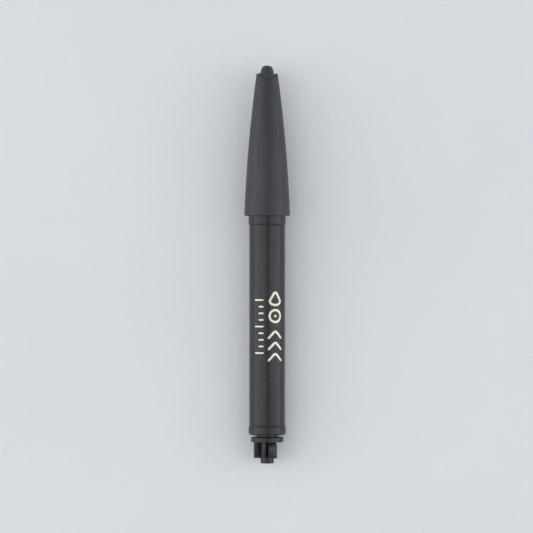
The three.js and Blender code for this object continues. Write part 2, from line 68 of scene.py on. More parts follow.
BARREL_LOW, BARREL_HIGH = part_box("barrel")
AXIS_Z = (BARREL_LOW.z + BARREL_HIGH.z) / 2
MOUTH, RIM = span("cap_shell")
LINER_MOUTH, TIP = span("inner_cap")
BARREL_REAR, BARREL_FRONT = span("barrel")
RING_REAR, SPIGOT_FRONT = span("tail_ring")
TAIL, SHAFT_FRONT = span("tail_coupling")
PLUG_REAR, NOZZLE_END = span("front_section")
FERRULE_REAR, FERRULE_FRONT = span("nib_ferrule")
NIB_REAR, NIB_TIP = span("brush_nib")
BARREL_R = radius("barrel")
COLLAR_R = radius("front_section")
CAP_R = radius("cap_shell")
TAIL_RING_R = radius("tail_ring")
COUPLING_R = radius("tail_coupling")

CAP_RIM_R = 2.35
CAP_SLOPE = 0.038                    # taper right at the cap's mouth
CAP_WALL = 0.7
TAIL_GAP = 0.45                      # between the fixed tail ring and the turning coupling
COUPLING_COLLAR = 1.1                # length of the coupling's collar
SPLINE_LENGTH = 3.5
SPLINE_R = 3.05
SPLINE_CORE_R = 1.6
TAIL_PIN_R = 1.5
SHAFT_R = 2.4
SHAFT_BORE_R = 1.6
GROOVE_R = 1.96                      # the floor of the tail O-ring's groove
GROOVE_WIDTH = 0.6
BEAD = MOUTH + 2.6                   # middle of the ridge that the cap snaps over
COUPLING_FRONT = RING_REAR - TAIL_GAP
SPLINE_FRONT = COUPLING_FRONT - COUPLING_COLLAR
SPLINE_REAR = SPLINE_FRONT - SPLINE_LENGTH


# ---- mesh helpers --------------------------------------------------------------------------------
def point(r, station, angle):
    """A place at a radius and station, at an angle in radians from straight up towards +X."""
    return Vector((r * math.sin(angle) * MM, station * MM, AXIS_Z + r * math.cos(angle) * MM))


def rounded(corners, steps=6, closed=True):
    """A profile of (r, station, edge) from corners of (r, station, fillet). edge is 1 on a fillet."""
    out = []
    count = len(corners)
    for i, (r, s, fillet) in enumerate(corners):
        end = not closed and i in (0, count - 1)
        if not fillet or end:
            out.append((r, s, 0.0))
            continue
        here = Vector((r, s))
        sides = [Vector(corners[i - 1][:2]) - here, Vector(corners[(i + 1) % count][:2]) - here]
        reach = min(fillet, *(0.48 * side.length for side in sides))
        a, b = (here + side.normalized() * reach for side in sides)
        for k in range(steps + 1):
            t = k / steps
            p = a * (1 - t) ** 2 + here * 2 * t * (1 - t) + b * t * t
            out.append((p.x, p.y, 1.0 if 0 < k < steps else 0.4))
    return out


def finish_mesh(bm, name, sharp=32):
    """Turns a bmesh into a linked, smooth-shaded object whose hard edges stay hard."""
    bmesh.ops.recalc_face_normals(bm, faces=bm.faces)
    mesh = bpy.data.meshes.new(name)
    bm.to_mesh(mesh)
    bm.free()
    mesh.shade_smooth()
    mesh.set_sharp_from_angle(angle=math.radians(sharp))
    obj = bpy.data.objects.new(name, mesh)
    bpy.context.scene.collection.objects.link(obj)
    return obj


def join_rings(bm, rings, closed):
    """Skins a list of rings, where a ring of one vertex is a pole."""
    pairs = list(zip(rings, rings[1:]))
    if closed:
        pairs.append((rings[-1], rings[0]))
    for a, b in pairs:
        count = max(len(a), len(b))
        for i in range(count):
            j = (i + 1) % count
            corners = [a[i % len(a)], a[j % len(a)], b[j % len(b)], b[i % len(b)]]
            face = [v for k, v in enumerate(corners) if v not in corners[:k]]
            if len(face) > 2:
                bm.faces.new(face)


def revolve(name, profile, columns=COLUMNS):
    """A turned piece. profile is a list of (r, station, edge), or a function of the angle giving one."""
    bm = bmesh.new()
    wear = bm.verts.layers.float.new("edge")
    angles = [2 * math.pi * i / columns for i in range(columns)]
    profiles = [profile(a) for a in angles] if callable(profile) else [profile] * columns
    rings = []
    for row in range(len(profiles[0])):
        pole = profiles[0][row][0] == 0
        ring = []
        for angle, column in zip(angles[:1] if pole else angles, profiles):
            r, station, edge = column[row]
            vert = bm.verts.new(point(r, station, angle))
            vert[wear] = edge
            ring.append(vert)
        rings.append(ring)
    on_axis = len(rings[0]) == 1 and len(rings[-1]) == 1
    join_rings(bm, rings, closed=not on_axis)
    return finish_mesh(bm, name)


def loft(bm, sections):
    """Skins a list of like sections, each a list of places, and closes both ends."""
    rings = [[bm.verts.new(place) for place in section] for section in sections]
    join_rings(bm, rings, closed=False)
    bm.faces.new(rings[0])
    bm.faces.new(list(reversed(rings[-1])))


def union(obj, others):
    """Joins solids into the first one and removes the rest."""
    for other in others:
        join = obj.modifiers.new("join", "BOOLEAN")
        join.operation = "UNION"
        join.solver = "EXACT"
        join.object = other
    solid = obj.evaluated_get(bpy.context.evaluated_depsgraph_get())
    mesh = bpy.data.meshes.new_from_object(solid)
    mesh.name = obj.name
    obj.modifiers.clear()
    obj.data = mesh
    for other in others:
        bpy.data.objects.remove(other)
    mesh.shade_smooth()
    mesh.set_sharp_from_angle(angle=math.radians(32))
    return obj


# ---- materials -----------------------------------------------------------------------------------
class Nodes:
    """A material being wired up: makes nodes, links them and sets their sockets."""

    def __init__(self, name):
        self.material = bpy.data.materials.new(name)
        self.material.use_nodes = True
        self.tree = self.material.node_tree
        self.shader = self.tree.nodes["Principled BSDF"]
        self.place = self.add("ShaderNodeTexCoord").outputs["Object"]

    def add(self, kind, inputs=None, **settings):
        node = self.tree.nodes.new(kind)
        for key, value in settings.items():
            setattr(node, key, value)
        for key, value in (inputs or {}).items():
            self.set(node.inputs[key], value)
        return node

    def set(self, socket, value):
        if isinstance(value, bpy.types.NodeSocket):
            self.tree.links.new(value, socket)
        else:
            socket.default_value = value

    def noise(self, scale, detail=3.0, rough=0.5, stretch=(1, 1, 1)):
        """Noise with `scale` features to a metre, stretched along each axis."""
        mapping = {"Vector": self.place, "Scale": [scale * share for share in stretch]}
        mapped = self.add("ShaderNodeMapping", mapping).outputs[0]
        inputs = {"Vector": mapped, "Scale": 1.0, "Detail": detail, "Roughness": rough}
        return self.add("ShaderNodeTexNoise", inputs).outputs["Fac"]

    def range(self, value, low, high, start=0.3, end=0.7):
        inputs = {"Value": value, "From Min": start, "From Max": end, "To Min": low, "To Max": high}
        return self.add("ShaderNodeMapRange", inputs).outputs["Result"]

    def times(self, a, b):
        return self.add("ShaderNodeMath", {0: a, 1: b}, operation="MULTIPLY").outputs[0]

    def mix(self, factor, a, b):
        node = self.add("ShaderNodeMix", data_type="RGBA")
        self.set(node.inputs[0], factor)
        self.set(node.inputs[6], a)
        self.set(node.inputs[7], b)
        return node.outputs[2]

    def attribute(self, name):
        return self.add("ShaderNodeAttribute", attribute_name=name).outputs["Fac"]

    def bump(self, height, distance, strength=1.0, under=None):
        inputs = {"Height": height, "Distance": distance, "Strength": strength}
        if under is not None:
            inputs["Normal"] = under
        return self.add("ShaderNodeBump", inputs).outputs["Normal"]

    def shade(self, **inputs):
        for key, value in inputs.items():
            self.set(self.shader.inputs[key.replace("_", " ")], value)
        return self.material


BLUE_BLACK = (0.86, 0.96, 1.14)      # the tint of a dark grey, per unit of its value


def dark(value):
    return tuple(value * share for share in BLUE_BLACK) + (1.0,)


def moulded_plastic(name, value, roughness, grain):
    """Moulded plastic: faint flow marks along the piece, fine grain, and paler edges where it rubs."""
    n = Nodes(name)
    flow = n.noise(260, 4, 0.6, stretch=(1, 0.16, 1))
    speck = n.noise(5200, 2)
    colour = n.mix(n.range(flow, 0, 1), dark(value * 0.86), dark(value * 1.16))
    colour = n.mix(n.range(speck, 0, 0.25), colour, dark(value * 1.7))
    worn = n.times(n.attribute("edge"), n.range(n.noise(1500, 4, 0.65), 0, 0.4, 0.42, 0.7))
    colour = n.mix(worn, colour, dark(value * 3.2 + 0.02))
    smear = n.range(n.noise(420, 5, 0.6, stretch=(1, 0.4, 1)), roughness - 0.05, roughness + 0.07)
    scratches = n.range(n.noise(2600, 2, 0.5, stretch=(1, 0.03, 1)), 0, 1, 0.62, 0.8)
    normal = n.bump(speck, grain)
    normal = n.bump(scratches, grain * 0.5, 0.5, under=normal)
    return n.shade(Base_Color=colour, Roughness=smear, Normal=normal, IOR=1.5)


def white_plastic():
    """Unpigmented moulded plastic, a little translucent and yellowed."""
    n = Nodes("natural_plastic")
    cloud = n.noise(320, 4)
    colour = n.mix(n.range(cloud, 0, 1), (0.72, 0.7, 0.64, 1), (0.8, 0.79, 0.75, 1))
    rough = n.range(n.noise(1800, 3), 0.38, 0.52)
    normal = n.bump(n.noise(4200, 2), 2e-6)
    material = n.shade(Base_Color=colour, Roughness=rough, Normal=normal)
    n.shader.inputs["Subsurface Weight"].default_value = 0.15
    n.shader.inputs["Subsurface Scale"].default_value = 0.0006
    return material


def rubber():
    """Soft black rubber with a dusty bloom."""
    n = Nodes("seal_rubber")
    bloom = n.range(n.noise(1400, 5, 0.65), 0, 0.3, 0.45, 0.75)
    colour = n.mix(bloom, (0.022, 0.021, 0.021, 1), (0.11, 0.11, 0.115, 1))
    rough = n.range(n.noise(900, 3), 0.62, 0.85)
    return n.shade(Base_Color=colour, Roughness=rough, Normal=n.bump(n.noise(6500, 3), 3e-6))


def steel():
    """Drawn stainless steel, with fine lines along it."""
    n = Nodes("drawn_steel")
    lines = n.noise(9000, 2, 0.5, stretch=(1, 0.02, 1))
    colour = n.mix(n.range(lines, 0, 1), (0.5, 0.51, 0.53, 1), (0.68, 0.69, 0.71, 1))
    rough = n.range(lines, 0.2, 0.38)
    material = n.shade(Base_Color=colour, Roughness=rough, Normal=n.bump(lines, 1e-6))
    n.shader.inputs["Metallic"].default_value = 1.0
    return material


def bristle():
    """Tapered nylon filaments: brown, darker at the root, each strand a little different."""
    n = Nodes("nylon_bristle")
    strand = n.attribute("strand")
    colour = n.mix(strand, (0.045, 0.022, 0.01, 1), (0.15, 0.078, 0.036, 1))
    streak = n.range(n.noise(5200, 3, 0.5, stretch=(1, 0.06, 1)), 0, 0.5)
    colour = n.mix(streak, colour, (0.2, 0.12, 0.065, 1))
    rough = n.range(n.noise(3000, 2), 0.34, 0.5)
    return n.shade(Base_Color=colour, Roughness=rough, Normal=n.bump(streak, 1e-6))


def foil():
    """Pale gold hot-stamped foil, slightly broken up by the plastic's grain."""
    n = Nodes("stamped_foil")
    patch = n.noise(1500, 5, 0.6)
    colour = n.mix(n.range(patch, 0, 1), (0.78, 0.72, 0.56, 1), (0.96, 0.93, 0.83, 1))
    rough = n.range(n.noise(5200, 3), 0.32, 0.5)
    material = n.shade(Base_Color=colour, Roughness=rough, Normal=n.bump(n.noise(5200, 2), 1.5e-6))
    n.shader.inputs["Metallic"].default_value = 0.35
    return material


def floor_paper():
    """Pale matt studio paper with a soft mottle and fine tooth."""
    n = Nodes("studio_paper")
    colour = n.mix(n.range(n.noise(14, 4), 0, 1), (0.86, 0.865, 0.875, 1), (0.9, 0.905, 0.91, 1))
    rough = n.range(n.noise(160, 3), 0.7, 0.85)
    return n.shade(Base_Color=colour, Roughness=rough, Normal=n.bump(n.noise(2400, 4), 6e-6))


# ---- cap -----------------------------------------------------------------------------------------
CAP_LENGTH = RIM - MOUTH
CAP_BEND = (CAP_R - CAP_RIM_R - CAP_SLOPE * CAP_LENGTH) / CAP_LENGTH ** 2
CROWN_BORE_R = 1.69
NOTCH_WIDTH = 3.6
NOTCH_DEPTH = 1.4
NOTCH_TURN = math.radians(7)
CROWN_LENGTH = 2.4                   # the part of the flank whose rows follow the notches
LIP = 0.16                           # fillet along the rim
MOUTH_EDGE = 0.17                    # height of the rounded edge at the mouth
BEAD_CLEARANCE = 0.12                # between the snap ridge inside the cap and the collar
BAND_REAR = RIM - 9                  # the band of the inner cap that grips the shell
BAND_FRONT = RIM - 6
CROWN_BORE_END = RIM - 4.2
FLANK_ROWS = 40
CROWN_ROWS = 8


def cap_outer(station):
    from_mouth = station - MOUTH
    return CAP_R - CAP_SLOPE * from_mouth - CAP_BEND * from_mouth ** 2


def cap_bore(station):
    return cap_outer(station) - CAP_WALL


def notched(r, angle):
    """The rim's station at a radius and angle: an ellipse is cut straight through the crown."""
    across = abs(r * math.sin(angle - NOTCH_TURN)) / (NOTCH_WIDTH / 2)
    return RIM - (NOTCH_DEPTH * math.sqrt(1 - across ** 2) if across < 1 else 0)


def softened(r, angle, spread=math.radians(2.4), taps=5):
    """The same, averaged over a few degrees so that the notches' corners are rounded."""
    offsets = [spread * (2 * i / (taps - 1) - 1) for i in range(taps)]
    return sum(notched(r, angle + offset) for offset in offsets) / taps


def cap_profile(angle):
    rim_out = softened(CAP_RIM_R, angle)
    rim_in = softened(CROWN_BORE_R, angle)
    root = RIM - CROWN_LENGTH
    flank = MOUTH + MOUTH_EDGE
    outer = [(cap_outer(MOUTH) - 0.16, MOUTH, 0.7), (cap_outer(MOUTH) - 0.05, MOUTH + 0.04, 1.0),
             (cap_outer(MOUTH), flank, 0.6)]
    for i in range(1, FLANK_ROWS + 1):
        station = flank + (root - flank) * i / FLANK_ROWS
        outer.append((cap_outer(station), station, 0.0))
    for i in range(1, CROWN_ROWS + 1):
        station = root + (rim_out - LIP - root) * i / CROWN_ROWS
        outer.append((cap_outer(station), station, 0.3 if i == CROWN_ROWS else 0.0))
    lip_r = cap_outer(rim_out)
    lip = [(lip_r - 0.04, rim_out - 0.06, 1.0), (lip_r - LIP, rim_out, 0.8),
           (CROWN_BORE_R + 0.1, rim_in, 0.5), (CROWN_BORE_R, rim_in - 0.1, 0.3)]
    inner = [(CROWN_BORE_R, root, 0.0), (CROWN_BORE_R, CROWN_BORE_END, 0.0)]
    flank_stations = MOUTH + 17, MOUTH + 12, MOUTH + 7, BEAD + 0.9
    for station in (CROWN_BORE_END, BAND_FRONT, BAND_REAR, *flank_stations):
        inner.append((cap_bore(station), station, 0.0))
    ridge = COLLAR_R + BEAD_CLEARANCE
    mouth_bore = cap_bore(MOUTH) + 0.05
    inner += [(ridge + 0.03, BEAD + 0.4, 0.0), (ridge, BEAD + 0.2, 0.0), (ridge, BEAD - 0.2, 0.0),
              (ridge + 0.04, BEAD - 0.4, 0.0), (mouth_bore, BEAD - 0.9, 0.0),
              (mouth_bore, MOUTH + 0.3, 0.0), (mouth_bore + 0.16, MOUTH + 0.02, 0.5)]
    return outer + lip + inner


def cap_shell():
    shell = revolve("cap_shell_moulded", cap_profile, 360)
    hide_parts("cap_shell")
    return shell


DOME_R = 1.54
DOME_LENGTH = 2.75
DOME_FULLNESS = 2.4                  # how long its sides stay straight
DOME_BLUNTNESS = 0.3                 # how flat its top is
LUG_GAP = 0.05                       # between the inner cap's lugs and the notches' floors
LUG_WIDTH = 2.8                      # narrower than the notches, so that a recess is left at each side
LUG_TOP = RIM + 0.1                  # where a lug's slope meets the dome
LUG_HOLLOW = 1.15                    # how much the slope sags between its ends
LUG_EDGE = 0.02                      # height of the softened edge at a lug's foot
LINER_R = 3.6
LINER_BORE_R = 3.3


def dome_radius(station):
    """The end of the inner cap: straight-sided at first, then closing over to a nearly flat top."""
    share = max(0.0, 1 - (TIP - station) / DOME_LENGTH)
    return DOME_R * max(0.0, 1 - share ** DOME_FULLNESS) ** DOME_BLUNTNESS


def dome(steps=18):
    """The dome's profile from the lugs' top to its pole."""
    stations = [TIP - (TIP - LUG_TOP) * (1 - math.sin(math.pi / 2 * i / steps)) for i in range(1, steps)]
    return [(dome_radius(station), station, 0.0) for station in stations] + [(0.0, TIP, 0.0)]


def lug_radius(angle, station):
    """A lug's sloping face: level with the shell at the notch's bottom and with the dome at its top."""
    bottom = RIM - NOTCH_DEPTH
    share = (LUG_TOP - station) / (LUG_TOP - bottom)
    slope = dome_radius(station) + (cap_outer(bottom) - DOME_R) * share ** LUG_HOLLOW
    side = LUG_WIDTH / 2 / max(0.01, abs(math.sin(angle - NOTCH_TURN)))
    return max(dome_radius(station), min(slope, side))


def lug_bottom(angle):
    """The lowest station at which a lug's face clears the crown at an angle."""
    rim_out, rim_in = softened(CAP_RIM_R, angle), softened(CROWN_BORE_R, angle)
    inner, outer = CROWN_BORE_R + 0.1, cap_outer(rim_out) - LIP
    low, high = RIM - NOTCH_DEPTH, LUG_TOP
    for _ in range(24):
        middle = (low + high) / 2
        share = min(1.0, max(0.0, (lug_radius(angle, middle) - inner) / (outer - inner)))
        if middle - LUG_GAP < rim_in + (rim_out - rim_in) * share:
            low = middle
        else:
            high = middle
    return high


def lugged_dome(angle, rows=9):
    """The inner cap's profile at an angle, from below the lug there to the pole."""
    bottom = lug_bottom(angle)
    out = [(dome_radius(bottom), bottom, 0.0)]
    for i in range(rows + 1):
        station = bottom + LUG_EDGE + (LUG_TOP - bottom - LUG_EDGE) * i / rows
        inset = 0.03 if i == 0 else 0
        out.append((lug_radius(angle, station) - inset, station, 0.4 if i < 2 else 0.0))
    return out + dome()


def inner_cap():
    seat = LINER_MOUTH + 1.1
    rear_bore, front_bore = cap_bore(BAND_REAR), cap_bore(BAND_FRONT)
    outside = rounded([
        (LINER_BORE_R, LINER_MOUTH, 0.04), (LINER_R, LINER_MOUTH, 0.1), (LINER_R - 0.1, seat + 0.4, 0.3),
        (rear_bore - 0.5, BAND_REAR, 0.15), (rear_bore - 0.1, BAND_REAR + 0.2, 0.1),
        (front_bore - 0.1, BAND_FRONT - 0.2, 0.1), (front_bore - 0.4, BAND_FRONT, 0.2),
        (DOME_R + 0.06, RIM - 4.4, 0.4), (DOME_R, RIM - 2, 0.0),
    ], closed=False)
    inside = rounded([
        (0.0, TIP - 2.4, 0), (0.5, TIP - 2.8, 0.3), (1.35, RIM - 7.5, 0.8), (2.1, NOZZLE_END - 0.3, 0.8),
        (2.95, seat, 0.1), (LINER_BORE_R, seat, 0.05), (LINER_BORE_R, LINER_MOUTH, 0),
    ], closed=False)
    # The profile meets the axis inside the thimble and at the dome's top, and is skinned between them.
    piece = revolve("inner_cap_moulded", lambda angle: inside[:-1] + outside + lugged_dome(angle), 240)
    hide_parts("inner_cap")
    return piece


# ---- front section and nib -----------------------------------------------------------------------
SEAM = 0.02                          # a hairline between two fitted pieces
PLUG_R = 3.0                         # where the section plugs into the barrel
NECK_R = 3.85
BEAD_R = COLLAR_R - 0.02
NOZZLE_R = 1.65
NOZZLE_BORE_R = 1.2
FERRULE_BORE_R = 1.58
JOINT_BORE_R = 1.98                  # where the ink pipe's joint sits
JOINT_BORE_END = MOUTH + 1


def front_section():
    corners = [
        (2.75, PLUG_REAR, 0.1), (PLUG_R, PLUG_REAR + 0.4, 0.1), (PLUG_R, BARREL_FRONT + SEAM, 0),
        (BARREL_R, BARREL_FRONT + SEAM, 0.02), (COLLAR_R, BARREL_FRONT + 0.3, 0.14),
        (COLLAR_R, MOUTH + 1.2, 0.1), (NECK_R, MOUTH + 1.4, 0.05),
        (NECK_R, BEAD - 0.5, 0.1), (BEAD_R, BEAD - 0.1, 0.1), (BEAD_R, BEAD + 0.1, 0.1),
        (3.75, BEAD + 0.5, 0.3), (3.6, MOUTH + 5.6, 0.3), (3.35, MOUTH + 6.2, 0.3),
        (2.2, NOZZLE_END - 3.4, 1.0), (1.9, NOZZLE_END - 0.5, 0.2), (NOZZLE_R, NOZZLE_END, 0.08),
        (NOZZLE_BORE_R, NOZZLE_END, 0.05), (NOZZLE_BORE_R, FERRULE_FRONT + 0.05, 0),
        (FERRULE_BORE_R, FERRULE_FRONT + 0.05, 0), (FERRULE_BORE_R, FERRULE_REAR - 1.6, 0),
        (1.3, JOINT_BORE_END, 0), (JOINT_BORE_R, JOINT_BORE_END, 0),
        (JOINT_BORE_R, PLUG_REAR + 0.5, 0), (2.4, PLUG_REAR, 0.05),
    ]
    piece = revolve("front_section_moulded", rounded(corners))
    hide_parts("front_section")
    return piece


STRANDS = 260
STRAND_R = 0.05
TUFT_R = 1.08                        # of the brush's envelope at the nozzle
TUFT_CORE_R = 1.06
FLANGE_R = 1.5
ROOT_DEPTH = 1.0                     # of the filaments' visible roots, inside the nozzle


def nib_envelope(t):
    """The brush's radius at a share t of the length it stands out of the nozzle."""
    return TUFT_R * (1 + 0.35 * t) * (1 - t ** 1.7) ** 0.62


def strand(bm, layer, rng, root_r, root_angle, length, tint):
    """One tapered filament from the ferrule, leaning in towards the brush's point."""
    steps, sides = 9, 5
    start = NOZZLE_END - ROOT_DEPTH
    sway = rng.uniform(-0.05, 0.05)
    rings = []
    for i in range(steps + 1):
        t = i / steps
        station = start + (length + ROOT_DEPTH) * t
        share = max(0.0, (station - NOZZLE_END) / (NIB_TIP - NOZZLE_END))
        r = root_r / TUFT_R * min(nib_envelope(min(share, 0.985)), NOZZLE_BORE_R)
        centre = point(r, station, root_angle + sway * t)
        thick = STRAND_R * (1 - 0.85 * t ** 2) * MM
        ring = []
        for k in range(sides):
            a = 2 * math.pi * k / sides
            vert = bm.verts.new(centre + Vector((thick * math.sin(a), 0, thick * math.cos(a))))
            vert[layer] = tint * (0.35 + 0.65 * t)
            ring.append(vert)
        rings.append(ring)
    join_rings(bm, rings, closed=False)
    bm.faces.new(rings[0])
    bm.faces.new(list(reversed(rings[-1])))


def brush_nib():
    rng = random.Random(7)
    bm = bmesh.new()
    layer = bm.verts.layers.float.new("strand")
    golden = math.pi * (3 - math.sqrt(5))
    for i in range(STRANDS):
        root_r = math.sqrt((i + 0.5) / STRANDS)
        length = (NIB_TIP - NOZZLE_END) * (1 - 0.42 * (root_r ** 2) * rng.uniform(0.7, 1.0))
        strand(bm, layer, rng, root_r, i * golden, length - 0.05, rng.uniform(0.2, 1.0))
    root = rounded([
        (0.0, NIB_REAR, 0), (FLANGE_R, NIB_REAR, 0.1), (FLANGE_R, FERRULE_REAR - 0.05, 0.05),
        (TUFT_CORE_R, FERRULE_REAR - 0.05, 0), (TUFT_CORE_R, NOZZLE_END - 0.4, 0.1),
        (0.0, NOZZLE_END - 0.4, 0),
    ], closed=False)
    rings = []
    for r, station, _ in root:
        count = FINE_COLUMNS if r else 1
        rings.append([bm.verts.new(point(r, station, 2 * math.pi * k / count)) for k in range(count)])
    join_rings(bm, rings, closed=False)
    piece = finish_mesh(bm, "brush_nib_bristles", 60)
    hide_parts("brush_nib")
    return piece


# ---- barrel and its stamped marks ----------------------------------------------------------------
CHAMBER_R = 3.05
CHAMBER_REAR = BARREL_FRONT - 23.6
REAR_BORE_R = 3.2


def barrel():
    corners = [
        (BARREL_R, BARREL_REAR, 0.04), (BARREL_R, BARREL_FRONT, 0.04), (CHAMBER_R, BARREL_FRONT, 0.03),
        (CHAMBER_R, CHAMBER_REAR, 0), (REAR_BORE_R, CHAMBER_REAR, 0), (REAR_BORE_R, BARREL_REAR, 0.05),
    ]
    piece = revolve("barrel_moulded", rounded(corners))
    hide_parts("barrel")
    return piece


FOIL_UNDERSIDE = 0.002               # above the barrel's surface
FOIL_THICKNESS = 0.012
MARK_FRONT = -6.0                    # where the stamped marks begin, on their way towards the tail
WIDE_ROW = (1.85, 1.55)              # a row's middle, as a distance round the barrel, and half its height
NARROW_ROW = (-1.85, 0.95)
WIDE_STROKE = 0.5
NARROW_STROKE = 0.34
STROKE_STEP = 0.12                   # the longest straight piece of a stroke
NIB_MARK = MARK_FRONT - 1.5
TURN_MARK = MARK_FRONT - 5.3
FEED_MARK = MARK_FRONT - 9.4
FEED_PITCH = 2.45
FIRST_TICK = MARK_FRONT - 1.8
TICK_PITCH = 1.45
TICKS = 9


def wrap(around, station, lift):
    """A place on the barrel, at a distance round it from straight up."""
    return point(BARREL_R + lift, station, around / BARREL_R)


def stroke(bm, path, width):
    """A stamped stroke: a thin raised strip, soft at its ends, on a path of (around, station, fillet)."""
    dense = []
    path = [place[:2] for place in rounded(path, closed=False)]
    for (a0, s0), (a1, s1) in zip(path, path[1:]):
        pieces = max(1, math.ceil(math.hypot(a1 - a0, s1 - s0) / STROKE_STEP))
        for i in range(pieces):
            dense.append(Vector((a0 + (a1 - a0) * i / pieces, s0 + (s1 - s0) * i / pieces)))
    dense.append(Vector(path[-1]))
    half = width / 2
    ends = [dense[0] - (dense[1] - dense[0]).normalized() * half * 0.5,
            dense[-1] + (dense[-1] - dense[-2]).normalized() * half * 0.5]
    line = [ends[0]] + dense + [ends[1]]
    left, right = [], []
    last = len(line) - 1
    for i, here in enumerate(line):
        ahead = line[min(i + 1, last)] - line[max(i - 1, 0)]
        across = Vector((-ahead.y, ahead.x)).normalized() * half * (0.6 if i in (0, last) else 1.0)
        left.append(here + across)
        right.append(here - across)
    sections = []
    for a, b in zip(left, right):
        sections.append([wrap(a.x, a.y, FOIL_UNDERSIDE), wrap(a.x, a.y, FOIL_THICKNESS),
                         wrap(b.x, b.y, FOIL_THICKNESS), wrap(b.x, b.y, FOIL_UNDERSIDE)])
    loft(bm, sections)


def ring(middle, station, around, along, first=0, last=360):
    """Places round an ellipse, from one angle to another in degrees, where 0 is on its right."""
    turns = [math.radians(first + (last - first) * i / 24) for i in range(25)]
    return [(middle + around * math.cos(a), station + along * math.sin(a), 0) for a in turns]


def nib_mark(bm, middle, station, reach, width):
    """A brush's outline: round at its root, drawn in to a point towards the tip."""
    root = middle, station - reach * 0.35, reach * 0.8, reach * 0.55
    tip = [(middle, station + reach * 1.1, 0.8)]
    stroke(bm, ring(*root, -90, 25) + tip + ring(*root, 155, 270), width)


def turn_mark(bm, middle, station, reach, width):
    """A ring round a spot: the tail that is turned, seen from its end."""
    stroke(bm, ring(middle, station, reach * 0.85, reach * 0.85), width)
    stroke(bm, ring(middle, station, 0.14, 0.14), 0.3)


def feed_mark(bm, middle, station, reach, width):
    """A chevron that points towards the tip, the way the ink is fed."""
    ends = [(middle + side * reach, station - 0.75, 0) for side in (-1, 1)]
    stroke(bm, [ends[0], (middle, station + 0.9, 0.6), ends[1]], width)


def stamped_marks():
    """Generic marks: a row that shows the brush, the turn and the feed, and a row of ticks."""
    bm = bmesh.new()
    middle, reach = WIDE_ROW
    nib_mark(bm, middle, NIB_MARK, reach, WIDE_STROKE)
    turn_mark(bm, middle, TURN_MARK, reach, WIDE_STROKE)
    for i in range(3):
        feed_mark(bm, middle, FEED_MARK - FEED_PITCH * i, reach, WIDE_STROKE)
    middle, reach = NARROW_ROW
    for i in range(TICKS):
        tick = FIRST_TICK - TICK_PITCH * i
        short = 0.0 if i % 4 == 0 else reach
        stroke(bm, [(middle - reach + short, tick, 0), (middle + reach, tick, 0)], NARROW_STROKE)
    return finish_mesh(bm, "stamped_marks", 30)


# ---- tail ----------------------------------------------------------------------------------------
SPIGOT_R = 3.12
SPIGOT_BORE_R = 2.5


def tail_ring():
    corners = [
        (SPIGOT_BORE_R, RING_REAR, 0.08), (TAIL_RING_R, RING_REAR, 0.55),
        (TAIL_RING_R, BARREL_REAR - 0.5, 0.1), (BARREL_R, BARREL_REAR - SEAM, 0.02),
        (SPIGOT_R, BARREL_REAR - SEAM, 0), (SPIGOT_R, SPIGOT_FRONT, 0.2),
        (SPIGOT_BORE_R, SPIGOT_FRONT, 0.1),
    ]
    piece = revolve("tail_ring_moulded", rounded(corners, 10))
    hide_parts("tail_ring")
    return piece


RIB_WIDTH = 0.62
RIB_TURNS = (-11, -71, -131, 169)    # degrees from straight up towards +X
KEY_WIDTH = 2.1
KEY_TURN = 26
KEY_SHOULDER = 0.4
RIB_FOOT = 1.2                       # where a rib starts, inside the core
RIB_EDGE = 0.12                      # fillet along a rib's top


def rib(width, turn, shoulder=0.0):
    """A rounded rib on the coupling. shoulder slopes its front end down towards the collar."""
    reach = SPLINE_FRONT + 0.3
    # Each stage is a station, with what the rib gains there in height and in width.
    stages = [(SPLINE_REAR, -0.16, -0.16), (SPLINE_REAR + 0.05, -0.06, -0.06),
              (SPLINE_REAR + 0.17, 0.0, 0.0)]
    if shoulder:
        stages += [(SPLINE_FRONT - 1.0, 0.0, 0.0), (SPLINE_FRONT - 0.85, -0.05, 0.0),
                   (SPLINE_FRONT, -shoulder, -0.2), (reach, -shoulder, -0.2)]
    else:
        stages.append((reach, 0.0, 0.0))
    bm = bmesh.new()
    sections = []
    for station, taller, wider in stages:
        outer, half = SPLINE_R + taller, width / 2 + wider / 2
        top = [(outer * math.sin(a), outer * math.cos(a), 0.0)
               for a in (math.asin(half / outer) * (1 - i / 4) * 0.86 for i in range(9))]
        side = math.sqrt(outer ** 2 - half ** 2)
        foot = [(-half, RIB_FOOT, 0.0), (half, RIB_FOOT, 0.0)]
        outline = foot + [(half, side, RIB_EDGE)] + top + [(-half, side, RIB_EDGE)]
        turn_by = math.radians(turn)
        section = []
        for x, z, _ in rounded(outline, 4):
            section.append(point(math.hypot(x, z), station, math.atan2(x, z) + turn_by))
        sections.append(section)
    loft(bm, sections)
    return finish_mesh(bm, "rib")


